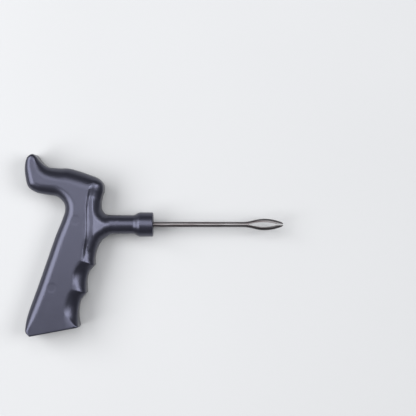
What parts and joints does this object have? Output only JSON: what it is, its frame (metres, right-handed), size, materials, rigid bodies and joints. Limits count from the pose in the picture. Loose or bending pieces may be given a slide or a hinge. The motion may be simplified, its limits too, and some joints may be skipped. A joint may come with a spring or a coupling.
{
  "type": "tyre plug insertion tool",
  "caption": "Pistol-grip hand tool with a straight split-eye steel needle that pushes a plug strip into a punctured tyre.",
  "frame": {"origin": "centre of the overall box on the underside, where the tool lies on the flat side of its handle", "axes": "+X along the needle towards its tip, +Y towards the handle's horn, +Z across the handle, out of its plain side face"},
  "size_m": [0.1698, 0.1196, 0.022],
  "materials": {
    "shell_plastic": "satin moulded black",
    "label_plastic": "fine matt",
    "screw_steel": "zinc plated",
    "needle_steel": "polished, forged eye"
  },
  "bodies": {
    "root": {"handle_shell_left": "shell_plastic", "handle_shell_right": "shell_plastic", "label_panel": "label_plastic", "upper_screw": "screw_steel", "lower_screw": "screw_steel", "needle": "needle_steel"}
  },
  "joints": []
}
